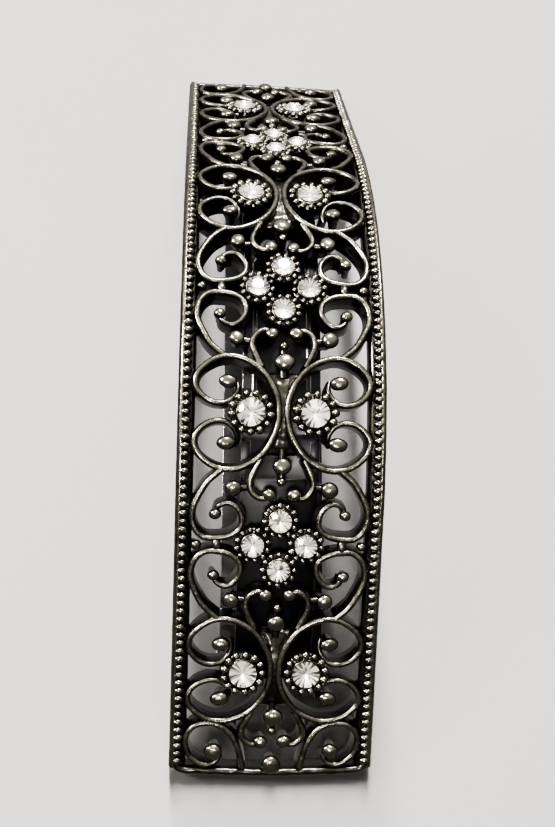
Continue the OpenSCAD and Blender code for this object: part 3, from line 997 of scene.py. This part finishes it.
def brilliant(name, radius, spin):
    """Crown, girdle and back. Thin rays run in from the girdle between the back's facets, painted
    dark as painted reflections.
    """
    table_r, star_r = TABLE_SHARE * radius, STAR_SHARE * radius
    slope = (TABLE_TOP - GIRDLE_TOP) / (radius - table_r)
    star_h = TABLE_TOP - slope * (star_r * math.cos(math.pi / TABLE_SIDES) - table_r)
    shape = bmesh.new()
    painted_reflection_by_face = {}

    def corner(r, height, turn):
        angle = spin + 2 * math.pi * turn
        return shape.verts.new((r * math.cos(angle), r * math.sin(angle), height))

    # Each face of the back draws a painted lightness from its choices, a painted reflection
    def back_face(corners, choices):
        face = shape.faces.new(corners)
        face.material_index = 1
        painted_reflection_by_face[face] = dice.choice(choices)

    table = [corner(table_r, TABLE_TOP, k / TABLE_SIDES) for k in range(TABLE_SIDES)]
    star = [corner(star_r, star_h, (k + 0.5) / TABLE_SIDES) for k in range(TABLE_SIDES)]
    upper = [corner(radius, GIRDLE_TOP, k / GIRDLE_SIDES) for k in range(GIRDLE_SIDES)]
    lower, tips = [], []
    for k in range(GIRDLE_SIDES):
        turn = k / GIRDLE_SIDES
        half_ray = dice.uniform(*HALF_RAYS)
        lower.append([corner(radius, GIRDLE_FOOT, turn + way * half_ray) for way in (-1, 1)])
        reach = dice.uniform(*RAY_ENDS)
        tips.append(corner(reach * radius, CULET + reach * (GIRDLE_FOOT - CULET), turn))
    point = corner(0, CULET, 0)
    shape.faces.new(table)
    for k in range(TABLE_SIDES):
        after, left, right = (k + 1) % TABLE_SIDES, 2 * k, (2 * k + 2) % GIRDLE_SIDES
        shape.faces.new((table[k], star[k], table[after]))
        shape.faces.new((table[k], star[k - 1], upper[left], star[k]))
        shape.faces.new((star[k], upper[left], upper[left + 1]))
        shape.faces.new((star[k], upper[left + 1], upper[right]))
    for k in range(GIRDLE_SIDES):
        after = (k + 1) % GIRDLE_SIDES
        shape.faces.new((upper[k], *lower[k]))
        shape.faces.new((upper[k], lower[k][1], lower[after][0], upper[after]))
        back_face((tips[k], *lower[k]), RAY_PAINTED_REFLECTION)
        back_face((tips[k], lower[k][1], lower[after][0], tips[after]), OUTER_PAINTED_REFLECTION)
        back_face((point, tips[k], tips[after]), INNER_PAINTED_REFLECTION)
    bmesh.ops.recalc_face_normals(shape, faces=shape.faces)
    shape.faces.index_update()
    values = [painted_reflection_by_face.get(face, 1.0) for face in shape.faces]
    mesh = bpy.data.meshes.new(name)
    shape.to_mesh(mesh)
    shape.free()
    mesh.materials.append(glass)
    mesh.materials.append(foil)
    painted_reflection_level = mesh.attributes.new("painted_reflection_level", "FLOAT", "FACE")
    painted_reflection_level.data.foreach_set("value", values)
    return mesh


print("a brilliant stands", round(TABLE_TOP - CULET, 2), "mm from its culet to its table")

# %% Set the stones
STONE_LEAN = 0.03


def set_stone(node, place, radius):
    u, s = place
    mesh = brilliant(f"{node}_cut", radius, dice.uniform(0, math.pi))
    along = dice.uniform(-STONE_LEAN, STONE_LEAN)
    aside = dice.uniform(-STONE_LEAN, STONE_LEAN)
    tip = Matrix.Rotation(arch_tilt(s) + along, 4, "X") @ Matrix.Rotation(aside, 4, "Y")
    mesh.transform(Matrix.Translation(arch_point(u, s, 0)) @ tip @ Matrix.Scale(MM, 4))
    obj = new_object(f"{node}_cut", mesh)
    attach(obj, "frame")
    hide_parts(node)


for i, place in enumerate(large_places):
    set_stone(f"stone_large_{i + 1}", place, LARGE_STONE)
for i, place in enumerate(small_places):
    set_stone(f"stone_small_{i + 1}", place, SMALL_STONE)
print("stones set:", len(large_places) + len(small_places))

# %% [markdown]
# ## The clip
#
# The clip's parts are pressed strip, so the CAD shapes are right as they are. Each is
# copied, its loose triangles are joined, flat faces are merged, and the sharp edges get a
# small round. The new faces along the edges are marked by an attribute named edge, and the
# wear group polishes the black finish away there. The outer side of the arm faces down,
# where little light reaches; it is marked in that attribute too, at a lower level, so its
# finish is painted lighter in patches, a painted fill light.


# %% Rounded copies of the clip's parts
# Distances in millimetres
MERGE = 0.004
FLAT_ANGLE = math.radians(1)
SHARP_ANGLE = math.radians(50)
SMOOTH_ANGLE = math.radians(35)
OUTWARDS = -0.3


def rounded_copy(node, body, material, width, outer_painted_fill=0.0):
    shape = bmesh.new()
    shape.from_mesh(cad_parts[node].data)
    bmesh.ops.remove_doubles(shape, verts=shape.verts, dist=MERGE * MM)
    flat = {"angle_limit": FLAT_ANGLE, "verts": shape.verts, "edges": shape.edges}
    bmesh.ops.dissolve_limit(shape, **flat)
    joined = [edge for edge in shape.edges if len(edge.link_faces) == 2]
    sharp = [edge for edge in joined if edge.calc_face_angle() > SHARP_ANGLE]
    rounds = {"offset": width * MM, "segments": 2, "profile": 0.5, "affect": "EDGES"}
    rounds = set(bmesh.ops.bevel(shape, geom=sharp, clamp_overlap=True, **rounds)["faces"])
    shape.normal_update()
    # Downward faces take the outer painted fill level: on the arm their finish is painted lighter
    # in patches, a painted fill light where little light reaches from below
    outer = {face for face in shape.faces if face.normal.z < OUTWARDS}
    wear_and_painted_fill = [1.0 if f in rounds else outer_painted_fill if f in outer else 0.0 for f in shape.faces]
    mesh = bpy.data.meshes.new(f"{node}_rounded")
    shape.to_mesh(mesh)
    shape.free()
    mesh.attributes.new("edge", "FLOAT", "FACE").data.foreach_set("value", wear_and_painted_fill)
    mesh.materials.append(material)
    mesh.set_sharp_from_angle(angle=SMOOTH_ANGLE)
    obj = new_object(f"{node}_rounded", mesh)
    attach(obj, body)
    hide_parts(node)
    print(node, "has", len(mesh.polygons), "faces,", len(rounds), "of them rounds")


# Columns: node, body, finish, width of the rounds in millimetres
rounded_copy("clip_base", "frame", clip_steel, 0.12)
# The arm's downward side is painted lighter: a painted fill light
rounded_copy("clasp_arm", "arm", clip_steel, 0.15, outer_painted_fill=0.75)
rounded_copy("bow_spring", "frame", spring_steel, 0.1)
rounded_copy("hinge_pin", "frame", spring_steel, 0.1)

# %% [markdown]
# ## Floor, light and world
#
# The photograph shows a pale grey surface in soft light, with one faint shadow. The floor
# here is plain, and wide enough to fill every view. Its underside is clear, so views from
# below still show the clip. The photographed metal mirrors no pale surface, so the
# reflections leave the floor out.
#
# The floor and the metal are lit apart. A long strip of light far beyond the far end
# falls on the floor: it is narrow from side to side, so little of it gets under the
# arch, and tall, so its shadow is soft at the near end. Metal and cut glass show what they
# reflect, and for them there are three softboxes and a pale studio, bright overhead and
# beyond the far end, dim below. The stones get a broad light of their own, because they
# are nearly white in the photograph while the metal round them is dark. All of it is a
# slightly warm white. A view look of high contrast stands for the photograph's own deep
# blacks.


# %% The floor
FLOOR_HALF = 6000.0
FLOOR_DARK = (0.74, 0.735, 0.73)
FLOOR_PALE = (0.80, 0.795, 0.79)


def floor_finish():
    material, tree, shader = new_material("pale_floor")
    cloud = noise(tree, object_place(tree), scale=18.0, detail=5.0)
    tree.links.new(blend(tree, cloud, FLOOR_DARK, FLOOR_PALE), shader.inputs["Base Color"])
    shader.inputs["Roughness"].default_value = 0.8
    back = add(tree, "ShaderNodeNewGeometry").outputs["Backfacing"]
    tree.links.new(calc(tree, "SUBTRACT", 1.0, back), shader.inputs["Alpha"])
    return material


corners = [(-1, -1, 0), (1, -1, 0), (1, 1, 0), (-1, 1, 0)]
floor_mesh = mesh_from("floor", [Vector(c) * FLOOR_HALF for c in corners], (), [(0, 1, 2, 3)])
floor_mesh.materials.append(floor_finish())
floor = new_object("floor", floor_mesh)
floor.visible_glossy = False
print("floor is", 2 * FLOOR_HALF, "mm wide")


# %% Lights
WARM_WHITE = (1, 0.965, 0.905)


def softbox(name, place, width, length, power, shown=("glossy", "transmission")):
    """An area light that looks at the middle of the plate. Millimetres and watts."""
    data = bpy.data.lights.new(name, "AREA")
    data.shape = "RECTANGLE"
    data.size = width * MM
    data.size_y = length * MM
    data.energy = power
    data.color = WARM_WHITE
    light = new_object(name, data)
    light.location = Vector(place) * MM
    aim = Vector((0, 0, LIFT)) * MM - light.location
    light.rotation_euler = aim.to_track_quat("-Z", "Y").to_euler()
    for sight in ("diffuse", "glossy", "transmission"):
        setattr(light, f"visible_{sight}", sight in shown)


# Columns: name, place, width, length, power, and the rays that see it
softbox("floor_light", (-660, 11700, 9900), 900, 13500, 4900, ("diffuse", "transmission"))
softbox("far_light", (60, 300, 420), 90, 90, 9.0)
softbox("near_light", (-60, -260, 430), 80, 80, 2.6)
softbox("left_light", (-330, 60, 300), 80, 160, 11.0)
softbox("stone_light", (0, 150, 450), 400, 400, 8.0, ("transmission",))


# %% A pale studio all round, dimmer at the horizon and below
FAR_END_GLOW = 0.6


def studio():
    world = bpy.data.worlds.new("studio")
    world.use_nodes = True
    tree = world.node_tree
    background = tree.nodes["Background"]
    direction = add(tree, "ShaderNodeTexCoord").outputs["Generated"]
    part = add(tree, "ShaderNodeSeparateXYZ", {0: direction}).outputs
    level = calc(tree, "MULTIPLY_ADD", part["Y"], FAR_END_GLOW, part["Z"])
    glow = {"Value": level, "From Min": 0.15, "From Max": 1.2, "To Min": 0.4, "To Max": 2.4}
    glow = add(tree, "ShaderNodeMapRange", glow, interpolation_type="SMOOTHSTEP")
    tree.links.new(glow.outputs["Result"], background.inputs["Strength"])
    background.inputs["Color"].default_value = (*WARM_WHITE, 1)
    world.cycles_visibility.diffuse = False
    return world


bpy.context.scene.world = studio()
bpy.context.scene.view_settings.look = "AgX - High Contrast"

# %% Throw away the tools
for obj in tools:
    bpy.data.objects.remove(obj)
